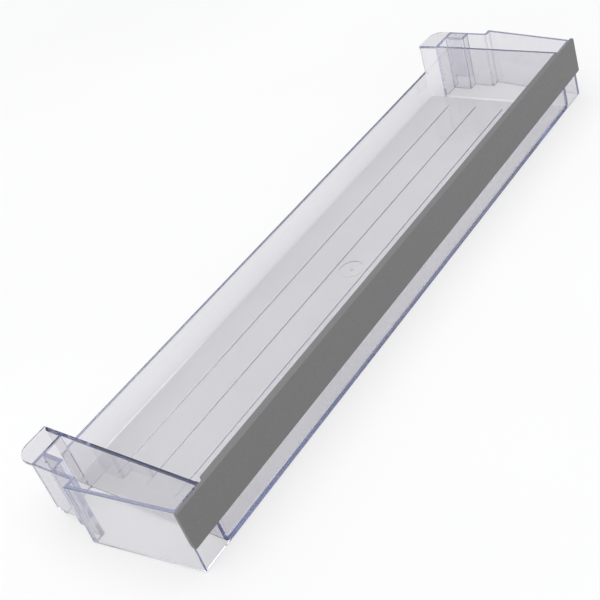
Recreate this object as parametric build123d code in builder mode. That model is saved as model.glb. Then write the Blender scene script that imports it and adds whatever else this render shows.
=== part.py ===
from build123d import *

import os
from math import atan2, cos

# Door shelf of a refrigerator: a clear moulded tray with a trim strip along its front wall.
# Millimetres. Depths run back from the foot of the front wall, heights up from the underside.

# Tray
tray_length = 441.0  # over the outer faces of the two end walls
tray_depth = 121.0  # foot of the front wall to the outer face of the back wall
tray_height = 45.3  # front wall, end walls and pocket walls
back_height = 23.0  # low wall on the door side
wall = 2.3
floor_thickness = 2.0
front_lean = 2.0  # the front wall's top stands this far behind its foot
end_lean = 1.0  # the pockets' outer walls lean in by this much
front_corner_radius = 1.0
cavity_corner_radius = 2.2
floor_fillet = 2.0
edge_radius = 0.4  # tops of the walls and outer foot

# End pockets: reaches run out from the end wall, face to face, and depths forward from the back
inner_reach = 15.3  # end wall to the wall beside the cell
panel_step = 7.3  # that wall to the outer panel
widest_step = 6.9  # the panel to the widest place of the shelf
corner_reach = 19.5  # end wall to the outer front corner
tab_depth = 14.0  # back of the tray to the pocket's rear wall
cell_depth = 15.2  # rear wall to the first step
middle_depth = 16.8  # first step to the second
step_radius = 0.8  # upright edges of the steps
panel_thickness = 1.2  # outer panel beside the cell
panel_foot = 7.8  # the panel stops this far above the underside
panel_foot_radius = 3.0
pocket_rise = 1.2  # the feet of the pocket walls rise by this much to the rear
tab_thickness = 2.0
tab_radius = 10.0
pin_mark_radius = 0.8  # dimple in the plate over the cell
pin_mark_depth = 0.5
pin_mark_taper = 40.0

# Floor: long ribs in equal bays, and the shallow well round the moulding gate
rib_count = 4
rib_radius = 0.5
rib_end_gap = 15.5  # the ribs stop this far inside the tray's ends
gate_well_radius = 8.5
gate_well_depth = 0.4
gate_stub_radius = 1.1

# Trim strip: a cored bar on the front wall, with a flange over the wall's top and a lip behind it
trim_height = 27.0
trim_foot_thickness = 2.5
trim_top_thickness = 2.2
trim_skin = 1.5  # face in front of the cored back
trim_rim = 2.0  # border left round the cored back
trim_overhang = 0.3  # past the outer front corners
trim_end_radius = 1.3  # corners of the face
trim_edge_radius = 0.5
flange_thickness = 1.0
flange_end_gap = 1.6  # flange ends to the end walls
flange_corner_radius = 1.6
lip_thickness = 1.0
lip_drop = 2.6
seat_gap = 0.2  # strip to tray, all along the seat

# Places that follow from the sizes
end_x = tray_length / 2
leg_x = end_x - wall / 2  # the pocket walls run into the end wall up to here
inner_x = end_x + inner_reach
panel_x = inner_x + panel_step
widest_x = panel_x + widest_step
corner_x = end_x + corner_reach
tub_front = (front_lean + wall) / 2  # inside the front wall at every height
rear_y = tray_depth - tab_depth
step_y = rear_y - cell_depth
widest_y = step_y - middle_depth
slant = (widest_x - corner_x) / widest_y
wall_across = wall / cos(atan2(widest_x - corner_x, widest_y))
bend_radius = floor_fillet + floor_thickness
rib_pitch = (tray_depth - 2 * wall) / (rib_count + 1)
seat_top = tray_height + seat_gap
trim_top = seat_top + flange_thickness
trim_foot = trim_top - trim_height
lip_back = front_lean + wall
lip_foot = tray_height - lip_drop
flange_half = end_x - wall - flange_end_gap


def front_y(height):
    """Outer face of the leaning front wall."""
    return front_lean * height / tray_height


def outer_x(depth, height):
    """Outer face of a pocket's end wall, slanted in plan and leaning in."""
    return corner_x + slant * depth - end_lean * height / tray_height


def trim_y(height):
    """Front face of the trim strip, thicker at its foot than at its top."""
    rise = (height - trim_foot) / trim_height
    thickness = trim_foot_thickness + (trim_top_thickness - trim_foot_thickness) * rise
    return front_y(height) - seat_gap - thickness


# The origin is on the underside, below the middle of the shelf with its trim strip
mid_depth = (tray_depth + trim_y(trim_foot)) / 2
ground = Plane((0, -mid_depth, 0))
section = Plane((0, -mid_depth, 0), x_dir=(0, 1, 0), z_dir=(1, 0, 0))


with BuildPart() as tray:
    # Tub between the end walls
    with BuildSketch(ground) as tub:
        with Locations((0, tray_depth)):
            Rectangle(tray_length, tray_depth - tub_front, align=(Align.CENTER, Align.MAX))
        fillet(tub.vertices().group_by(Axis.Y)[-1], cavity_corner_radius + wall)
    extrude(amount=tray_height)

    # Front wall and the stepped walls of both pockets as one band, drawn in towards the top
    for height in (0, tray_height):
        front = front_y(height)
        inner_front = front + wall
        with BuildSketch(ground.offset(height)) as band:
            with BuildLine():
                Polyline(
                    (0, front),
                    (outer_x(front, height), front),
                    (outer_x(widest_y, height), widest_y),
                    (panel_x, widest_y),
                    (panel_x, rear_y),
                    (leg_x, rear_y),
                    (leg_x, rear_y - wall),
                    (inner_x - wall, rear_y - wall),
                    (inner_x - wall, step_y - wall),
                    (panel_x - wall, step_y - wall),
                    (panel_x - wall, widest_y - wall),
                    (outer_x(widest_y - wall, height) - wall_across, widest_y - wall),
                    (outer_x(inner_front, height) - wall_across, inner_front),
                    (0, inner_front),
                )
                mirror(about=Plane.YZ)
            make_face()
            corners = band.vertices().filter_by(lambda v: abs(v.X) > end_x).group_by(Axis.Y)
            fillet([vertex for group in corners[1:] for vertex in group], step_radius)
            fillet(band.vertices().group_by(Axis.Y)[0], front_corner_radius)
    loft(ruled=True)

    # Feet of the end walls and the back wall, bent round into the floor
    feet = tray.edges().filter_by_position(Axis.Z, 0, 0)
    end_feet = feet.filter_by(Axis.Y).filter_by(lambda e: abs(e.center().X) < inner_x - wall)
    back_foot = feet.filter_by(Axis.X).sort_by(Axis.Y)[-1]
    fillet([*end_feet, back_foot], bend_radius)

    # Inside of the tub, open at the top
    for height in (floor_thickness, tray_height):
        with BuildSketch(ground.offset(height)):
            with Locations((0, (front_y(height) + tray_depth) / 2)):
                RectangleRounded(
                    tray_length - 2 * wall,
                    tray_depth - front_y(height) - 2 * wall,
                    cavity_corner_radius,
                )
    loft(ruled=True, mode=Mode.SUBTRACT)

    # Low back wall between the end walls, rounded over its top
    back_mid = tray_depth - wall / 2
    round_height = back_height - wall / 2
    with BuildSketch(section):
        with Locations((back_mid, tray_height)):
            Rectangle(
                wall + 2 * cavity_corner_radius,
                tray_height - round_height,
                align=(Align.CENTER, Align.MAX),
            )
        with Locations((back_mid, round_height)):
            Circle(wall / 2, mode=Mode.SUBTRACT)
    extrude(amount=end_x - wall, both=True, mode=Mode.SUBTRACT)

    cavity_floor = tray.faces().filter_by_position(Axis.Z, floor_thickness, floor_thickness)
    fillet(cavity_floor.edges(), floor_fillet)

    for side in (1, -1):
        # Cell in the first step, closed at the top by a plate
        cell_width = panel_x - panel_thickness - inner_x
        cell_x = inner_x + cell_width / 2
        cell_y = (step_y + rear_y - wall) / 2
        with BuildSketch(ground):
            with Locations((side * cell_x, cell_y)):
                Rectangle(cell_width, rear_y - wall - step_y)
        extrude(amount=tray_height - tab_thickness, mode=Mode.SUBTRACT)

        # Outer panel of the cell stops short of the underside, with a rounded rear corner
        panel_arc_y = rear_y - panel_foot_radius
        with BuildSketch(section.offset(side * (panel_x - wall))):
            with BuildLine():
                Polyline((panel_arc_y, panel_foot), (step_y, panel_foot), (step_y, 0), (rear_y, 0))
                Line((rear_y, 0), (rear_y, panel_foot + panel_foot_radius))
                CenterArc((panel_arc_y, panel_foot + panel_foot_radius), panel_foot_radius, 0, -90)
            make_face()
        extrude(amount=side * wall, mode=Mode.SUBTRACT)

        # Rear tab, level with the top
        with BuildSketch(ground.offset(tray_height - tab_thickness)) as tab:
            with Locations((side * (end_x + panel_x - wall) / 2, tray_depth)):
                Rectangle(panel_x - end_x + wall, tab_depth + wall, align=(Align.CENTER, Align.MAX))
            rear_corner = tab.vertices().group_by(Axis.Y)[-1].sort_by(lambda v: abs(v.X))[-1]
            fillet(rear_corner, tab_radius)
        extrude(amount=tab_thickness)

    # Soft edges along the tops of the walls and the outer foot
    walls_top = tray.faces().sort_by(Axis.Z)[-1]
    front_foot = tray.edges().filter_by(Axis.X).group_by(Axis.Z)[0].sort_by(Axis.Y)[0]
    fillet([*walls_top.edges(), front_foot], edge_radius)

    # Feet of the pocket walls, rising to the rear
    for side in (1, -1):
        with BuildSketch(section.offset(side * leg_x)):
            with BuildLine():
                Polyline((wall, 0), (rear_y, 0), (rear_y, pocket_rise), close=True)
            make_face()
        extrude(amount=side * (widest_x - leg_x), mode=Mode.SUBTRACT)

    # Rebate behind the front wall's top for the trim strip's lip
    with BuildSketch(section):
        with Locations((lip_back - lip_thickness - seat_gap, tray_height)):
            Rectangle(
                lip_thickness + seat_gap + cavity_corner_radius,
                lip_drop + seat_gap,
                align=(Align.MIN, Align.MAX),
            )
    extrude(amount=end_x - wall, both=True, mode=Mode.SUBTRACT)

    # Ejector marks in the plates over the cells
    with BuildSketch(ground.offset(tray_height)):
        with Locations((cell_x, cell_y), (-cell_x, cell_y)):
            Circle(pin_mark_radius)
    extrude(amount=-pin_mark_depth, taper=pin_mark_taper, mode=Mode.SUBTRACT)

    # Long ribs on the floor
    with BuildSketch(section):
        with Locations((tray_depth / 2, floor_thickness)):
            with GridLocations(rib_pitch, rib_pitch, rib_count, 1):
                Circle(rib_radius)
    extrude(amount=end_x - rib_end_gap, both=True)

    # Well in the underside with the gate's stub left in its middle
    with BuildSketch(ground):
        with Locations((0, tray_depth / 2)):
            Circle(gate_well_radius)
            Circle(gate_stub_radius, mode=Mode.SUBTRACT)
    extrude(amount=gate_well_depth, mode=Mode.SUBTRACT)


with BuildPart() as trim_strip:
    # Bar that covers the upper part of the front wall
    trim_half = corner_x + trim_overhang
    with BuildSketch(section):
        with BuildLine():
            Polyline(
                (trim_y(trim_foot), trim_foot),
                (trim_y(trim_top), trim_top),
                (front_y(trim_top) - seat_gap, trim_top),
                (front_y(trim_foot) - seat_gap, trim_foot),
                close=True,
            )
        make_face()
    extrude(amount=trim_half, both=True)
    fillet(trim_strip.edges().filter_by(Axis.Y), trim_end_radius)

    # Cored back
    core_foot = trim_foot + trim_rim
    core_top = trim_top - trim_rim
    with BuildSketch(section):
        with BuildLine():
            Polyline(
                (trim_y(core_foot) + trim_skin, core_foot),
                (trim_y(core_top) + trim_skin, core_top),
                (front_y(core_top), core_top),
                (front_y(core_foot), core_foot),
                close=True,
            )
        make_face()
    extrude(amount=trim_half - trim_rim, both=True, mode=Mode.SUBTRACT)

    # Flange over the wall's top, between the end walls
    flange_depth = lip_back - trim_y(trim_top) - trim_skin
    with BuildSketch(ground.offset(seat_top)) as flange:
        with Locations((0, lip_back)):
            Rectangle(2 * flange_half, flange_depth, align=(Align.CENTER, Align.MAX))
        fillet(flange.vertices().group_by(Axis.Y)[-1], flange_corner_radius)
    extrude(amount=flange_thickness)

    # Lip that hooks behind the wall
    with BuildSketch(ground.offset(lip_foot)):
        with Locations((0, lip_back)):
            Rectangle(
                2 * (flange_half - flange_corner_radius),
                lip_thickness,
                align=(Align.CENTER, Align.MAX),
            )
    extrude(amount=seat_top - lip_foot)

    # Soft edges round the face
    face = trim_strip.faces().filter_by(lambda f: f.normal_at().Y < -0.9).sort_by(SortBy.AREA)[-1]
    fillet(face.edges(), trim_edge_radius)


tray.part.label = "tray"
trim_strip.part.label = "trim_strip"

os.makedirs("parts", exist_ok=True)
export_step(tray.part, "parts/tray.step")
export_step(trim_strip.part, "parts/trim_strip.step")
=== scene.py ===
import bpy
from mathutils import Matrix, Vector

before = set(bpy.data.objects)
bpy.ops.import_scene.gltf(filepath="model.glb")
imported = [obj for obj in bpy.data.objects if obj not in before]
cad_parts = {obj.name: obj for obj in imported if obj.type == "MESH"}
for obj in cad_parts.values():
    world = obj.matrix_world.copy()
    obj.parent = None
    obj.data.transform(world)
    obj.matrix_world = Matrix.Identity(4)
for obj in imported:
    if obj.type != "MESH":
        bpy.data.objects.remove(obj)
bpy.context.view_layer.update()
scene = bpy.context.scene

# Lengths in metres
FLOOR_SIZE = 90.0
FLOOR_GAP = 0.0004  # keeps the floor clear of the underside

# The photograph's frame and the camera fitted to it, in pixels and metres
PHOTO_SIZE = 600.0
FOCAL_LENGTH = 1085.5
CENTRE_X, CENTRE_Y = 319.3, 301.6
SENSOR_WIDTH_MM = 36.0
CAMERA_PLACE = (-0.439009, -0.398372, 0.425911)
CAMERA_RIGHT = Vector((0.5370197, -0.8048804, -0.25254184))
CAMERA_DOWN = Vector((-0.62412537, -0.17769239, -0.76085014))
CAMERA_AHEAD = Vector((0.5675186, 0.56620928, -0.59777059))

# Range of a noise texture's values that is spread over a material's range
NOISE_LOW, NOISE_HIGH = 0.3, 0.7


def new_material(name):
    """An empty node material with a Principled shader and texture coordinates in metres."""
    mat = bpy.data.materials.new(name)
    mat.use_nodes = True
    tree = mat.node_tree
    tree.nodes.clear()
    out = tree.nodes.new("ShaderNodeOutputMaterial")
    shader = tree.nodes.new("ShaderNodeBsdfPrincipled")
    coord = tree.nodes.new("ShaderNodeTexCoord")
    tree.links.new(shader.outputs["BSDF"], out.inputs["Surface"])
    return mat, tree, out, shader, coord.outputs["Object"]


def noise(tree, coord, scale, detail=2.0):
    """A noise value over the surface."""
    node = tree.nodes.new("ShaderNodeTexNoise")
    node.inputs["Scale"].default_value = scale
    node.inputs["Detail"].default_value = detail
    node.inputs["Roughness"].default_value = 0.5
    tree.links.new(coord, node.inputs["Vector"])
    return node.outputs["Fac"]


def spread(tree, value, low, high):
    """Maps a noise value to the range from low to high."""
    node = tree.nodes.new("ShaderNodeMapRange")
    node.inputs["From Min"].default_value = NOISE_LOW
    node.inputs["From Max"].default_value = NOISE_HIGH
    node.inputs["To Min"].default_value = low
    node.inputs["To Max"].default_value = high
    tree.links.new(value, node.inputs["Value"])
    return node.outputs["Result"]


def ramp(tree, value, *stops):
    """Maps a noise value to a colour between two stops, each a place and a colour."""
    node = tree.nodes.new("ShaderNodeValToRGB")
    for stop, (place, colour) in zip(node.color_ramp.elements, stops):
        stop.position = place
        stop.color = (*colour, 1.0)
    tree.links.new(value, node.inputs["Fac"])
    return node.outputs["Color"]


def bump(tree, height, strength, distance):
    """A fine unevenness of the surface."""
    node = tree.nodes.new("ShaderNodeBump")
    node.inputs["Strength"].default_value = strength
    node.inputs["Distance"].default_value = distance
    tree.links.new(height, node.inputs["Height"])
    return node.outputs["Normal"]


# Clear plastic: polished, faintly wavy from the mould,
# lavender to navy where light travels a long way inside it
clear, tree, out, shader, place = new_material("clear_plastic")
shader.inputs["Transmission Weight"].default_value = 1.0
shader.inputs["IOR"].default_value = 1.57
# The grey in the base colour is painted shade, varying a little at random: it dims
# everything seen through each wall, standing in for the shaded floor under the tray
painted_shade_tint = ramp(
    tree,
    noise(tree, place, 14.0),
    (0.35, (0.845, 0.835, 0.85)),
    (0.65, (0.865, 0.855, 0.87)),
)
polish = spread(tree, noise(tree, place, 60.0, 4.0), 0.05, 0.10)
waves = bump(tree, noise(tree, place, 22.0, 1.0), 0.06, 0.002)
tree.links.new(painted_shade_tint, shader.inputs["Base Color"])
tree.links.new(polish, shader.inputs["Roughness"])
tree.links.new(waves, shader.inputs["Normal"])
absorb = tree.nodes.new("ShaderNodeVolumeAbsorption")
absorb.inputs["Color"].default_value = (0.44, 0.50, 0.76, 1.0)
absorb.inputs["Density"].default_value = 20.0
tree.links.new(absorb.outputs["Volume"], out.inputs["Volume"])

# Trim strip: satin grey, with the fine grain of a spark-eroded mould
trim, tree, out, shader, place = new_material("grey_trim")
grey = ramp(
    tree,
    noise(tree, place, 900.0, 3.0),
    (NOISE_LOW, (0.158, 0.154, 0.155)),
    (NOISE_HIGH, (0.177, 0.173, 0.174)),
)
satin = spread(tree, noise(tree, place, 350.0, 3.0), 0.42, 0.52)
grain = bump(tree, noise(tree, place, 2600.0, 2.0), 0.25, 0.0001)
tree.links.new(grey, shader.inputs["Base Color"])
tree.links.new(satin, shader.inputs["Roughness"])
tree.links.new(grain, shader.inputs["Normal"])

for node, mat in (("tray", clear), ("trim_strip", trim)):
    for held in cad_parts[node].material_slots:
        held.material = mat

# Pale floor that glows a little, so that the shadows on it stay soft
bpy.ops.mesh.primitive_plane_add(size=FLOOR_SIZE, location=(0.0, 0.0, -FLOOR_GAP))
floor = bpy.context.object
floor.name = "floor"
pale, tree, out, shader, place = new_material("pale_floor")
paint = ramp(
    tree,
    noise(tree, place, 3.0),
    (NOISE_LOW, (0.29, 0.29, 0.29)),
    (NOISE_HIGH, (0.31, 0.31, 0.31)),
)
tree.links.new(paint, shader.inputs["Base Color"])
shader.inputs["Emission Color"].default_value = (1.0, 1.0, 1.0, 1.0)
shader.inputs["Emission Strength"].default_value = 0.62
shader.inputs["Roughness"].default_value = 0.9
shader.inputs["Specular IOR Level"].default_value = 0.1
floor.data.materials.append(pale)

# Soft studio light: a dim room and two large soft boxes
world = bpy.data.worlds.new("studio")
world.use_nodes = True
room = world.node_tree.nodes["Background"]
room.inputs["Color"].default_value = (0.95, 0.96, 1.0, 1.0)
room.inputs["Strength"].default_value = 0.58
scene.world = world


def soft_box(name, at, side, watts):
    """A square area light that faces the origin."""
    light = bpy.data.lights.new(name, "AREA")
    light.shape = "RECTANGLE"
    light.size = light.size_y = side
    light.energy = watts
    held = bpy.data.objects.new(name, light)
    held.location = at
    held.rotation_mode = "QUATERNION"
    held.rotation_quaternion = (-Vector(at)).to_track_quat("-Z", "Y")
    scene.collection.objects.link(held)


soft_box("overhead", (-0.2, 0.0, 2.2), 2.8, 44.0)
soft_box("left", (-2.2, 0.2, 1.2), 2.0, 8.0)

# Camera at the photograph's viewing angle
camera = bpy.data.objects.new("camera", bpy.data.cameras.new("camera"))
camera.data.sensor_fit = "HORIZONTAL"
camera.data.sensor_width = SENSOR_WIDTH_MM
camera.data.lens = SENSOR_WIDTH_MM * FOCAL_LENGTH / PHOTO_SIZE
camera.data.shift_x = (PHOTO_SIZE / 2 - CENTRE_X) / PHOTO_SIZE
camera.data.shift_y = (CENTRE_Y - PHOTO_SIZE / 2) / PHOTO_SIZE
camera.data.clip_start = 0.01
turn = Matrix((CAMERA_RIGHT, -CAMERA_DOWN, -CAMERA_AHEAD)).transposed().to_4x4()
camera.matrix_world = Matrix.Translation(CAMERA_PLACE) @ turn
scene.collection.objects.link(camera)
scene.camera = camera

# Enough bounces for light to cross several clear walls and to run along inside them
scene.cycles.max_bounces = 256
scene.cycles.transmission_bounces = 192
scene.cycles.glossy_bounces = 192
scene.cycles.diffuse_bounces = 6
scene.view_settings.view_transform = "Standard"
